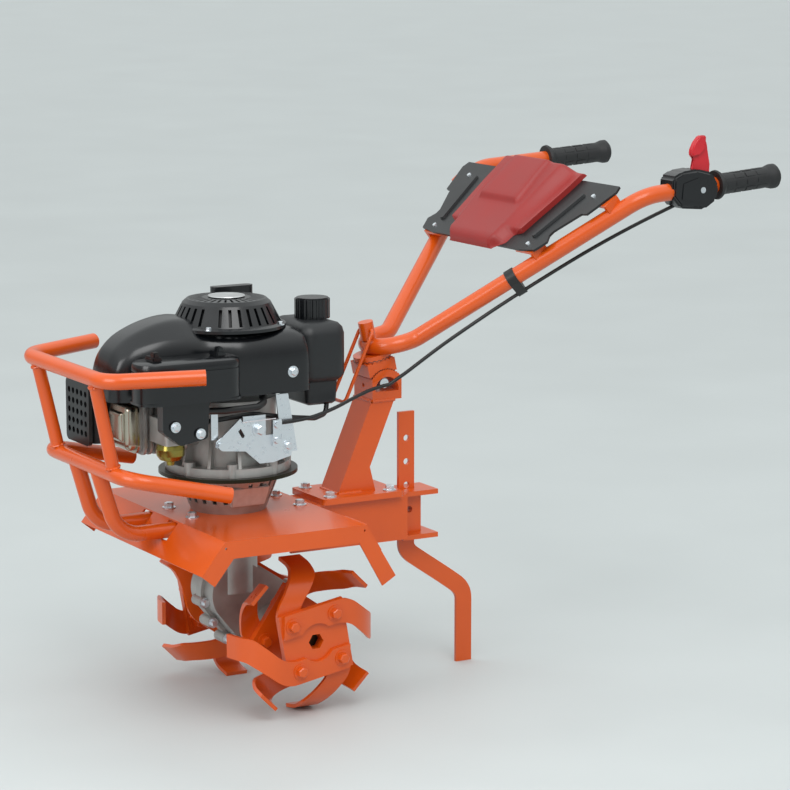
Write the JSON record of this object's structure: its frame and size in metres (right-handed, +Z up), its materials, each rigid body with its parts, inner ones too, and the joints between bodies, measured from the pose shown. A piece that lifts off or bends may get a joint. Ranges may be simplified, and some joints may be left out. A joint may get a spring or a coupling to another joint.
{
  "type": "power tiller",
  "caption": "Petrol tiller that walks on a tine rotor below a bent fender, with a front bumper, an engine on a cone housing, a leaning post, an indexed U handlebar and a drag stake.",
  "frame": {"origin": "on the floor below the middle of the machine's overall box", "axes": "+X forward towards the bumper, +Y to the machine's left, +Z up from the floor"},
  "size_m": [1.1913, 0.5636, 0.9068],
  "materials": {
    "orange_paint": "gloss",
    "cast_alloy": "matte",
    "dark_steel": "satin",
    "zinc_steel": "satin",
    "nickel_plate": "satin",
    "black_steel": "satin",
    "black_plastic": "satin",
    "red_plastic": "gloss",
    "brass": "satin",
    "hose_rubber": "satin",
    "grip_rubber": "matte"
  },
  "bodies": {
    "chassis": {"gearbox_case_left": "cast_alloy", "gearbox_case_right": "cast_alloy", "fender": "orange_paint", "bumper_upper_rail": "orange_paint", "bumper_lower_rail": "orange_paint", "bumper_uprights": "orange_paint", "bumper_supports": "orange_paint", "rear_beam": "orange_paint", "handle_post": "orange_paint", "post_head": "orange_paint", "hitch_socket": "orange_paint", "clutch_housing": "cast_alloy", "engine_flange": "dark_steel", "crankcase": "cast_alloy", "cylinder": "cast_alloy", "valve_cover": "nickel_plate", "muffler": "black_steel", "muffler_guard": "black_steel", "carburettor": "cast_alloy", "intake_body": "black_plastic", "air_cleaner_cover": "black_plastic", "blower_shroud": "black_plastic", "recoil_starter": "black_plastic", "starter_grip": "black_plastic", "fuel_tank": "black_plastic", "fuel_cap": "black_plastic", "carburettor_bowl": "brass", "control_plate": "zinc_steel", "tank_stay": "zinc_steel", "breather_hose": "hose_rubber", "fuel_hose": "hose_rubber", "throttle_cable_engine": "hose_rubber"},
    "rotor": {"rotor_axle": "dark_steel", "rotor_left_hub": "orange_paint", "rotor_right_hub": "orange_paint", "tines_left_outer": "orange_paint", "tines_left_inner": "orange_paint", "tines_right_outer": "orange_paint", "tines_right_inner": "orange_paint"},
    "saddle": {"pitch_saddle": "orange_paint", "clamp_bolt": "zinc_steel"},
    "handlebar": {"yaw_plate": "orange_paint", "handlebar_tube": "orange_paint", "locking_nut": "orange_paint", "locking_bail": "orange_paint", "grip_left": "grip_rubber", "grip_right": "grip_rubber", "throttle_box": "black_plastic", "throttle_lever": "red_plastic", "console_tabs": "orange_paint", "console_plate": "black_steel", "console_cover": "red_plastic", "cable_band": "hose_rubber", "throttle_cable_handle": "hose_rubber"},
    "stake": {"drag_stake": "orange_paint"}
  },
  "joints": [
    {"name": "rotor_spin", "type": "hinge", "parent": "chassis", "child": "rotor", "pos_m": [0.24, 0, 0.125], "axis": [0, 1, 0], "continuous": true},
    {"name": "handle_pitch", "type": "hinge", "parent": "chassis", "child": "saddle", "pos_m": [0.022, 0, 0.488], "axis": [0, 1, 0], "range_deg": [-37.5, 7.5], "deforming": ["throttle_cable_engine"]},
    {"name": "handle_yaw", "type": "hinge", "parent": "saddle", "child": "handlebar", "pos_m": [0.022, 0, 0.488], "axis": [0.2079, 0, 0.9781], "range_deg": [-45, 45], "deforming": ["throttle_cable_handle"]},
    {"name": "stake_slide", "type": "slide", "parent": "chassis", "child": "stake", "axis": [0, 0, 1], "range_m": [-0.08, 0]}
  ]
}
